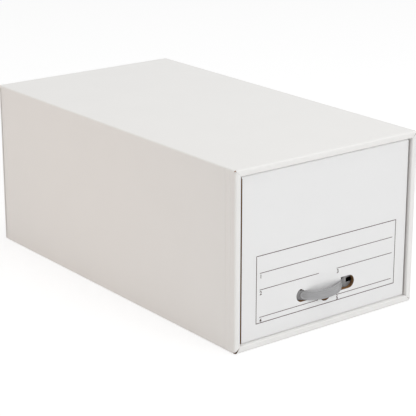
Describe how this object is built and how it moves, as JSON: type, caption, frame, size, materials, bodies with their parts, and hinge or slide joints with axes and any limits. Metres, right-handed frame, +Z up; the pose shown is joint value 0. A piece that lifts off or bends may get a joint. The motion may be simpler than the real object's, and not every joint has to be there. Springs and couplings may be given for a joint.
{
  "type": "file box with drawer",
  "caption": "Corrugated board sleeve on its side, with a pull-out letter-size file drawer and a moulded strap pull.",
  "frame": {"origin": "middle of the box's footprint, on the surface it stands on; the footprint takes in the strap pull in front", "axes": "+X to the right as the drawer is faced, +Y from the drawer's front to the back of the shell, +Z up"},
  "size_m": [0.338, 0.6262, 0.264],
  "materials": {
    "white_board": "white-faced corrugated board, smooth matt coat",
    "kraft_board": "brown kraft side of the corrugated board, matt and fibrous",
    "grey_plastic": "light grey moulded plastic, satin to glossy"
  },
  "bodies": {
    "shell": {"shell_floor": "white_board", "shell_top": "white_board", "shell_left_wall": "white_board", "shell_right_wall": "white_board", "shell_glue_flap": "kraft_board", "rear_left_flap": "kraft_board", "rear_right_flap": "kraft_board", "rear_lower_flap": "white_board", "rear_upper_flap": "white_board", "floor_hem": "white_board", "top_hem": "white_board", "left_hem": "white_board", "right_hem": "white_board"},
    "drawer": {"drawer_floor": "kraft_board", "drawer_front": "white_board", "drawer_front_lining": "white_board", "front_left_tuck": "kraft_board", "front_right_tuck": "kraft_board", "slot_flap": "white_board", "pull_strap": "grey_plastic", "drawer_back": "white_board", "drawer_back_lining": "white_board", "back_left_tuck": "kraft_board", "back_right_tuck": "kraft_board", "drawer_left": "white_board", "drawer_left_lining": "white_board", "drawer_right": "white_board", "drawer_right_lining": "white_board"}
  },
  "joints": [
    {"name": "drawer_slide", "type": "slide", "parent": "shell", "child": "drawer", "axis": [0, -1, 0], "range_m": [0, 0.5]}
  ]
}
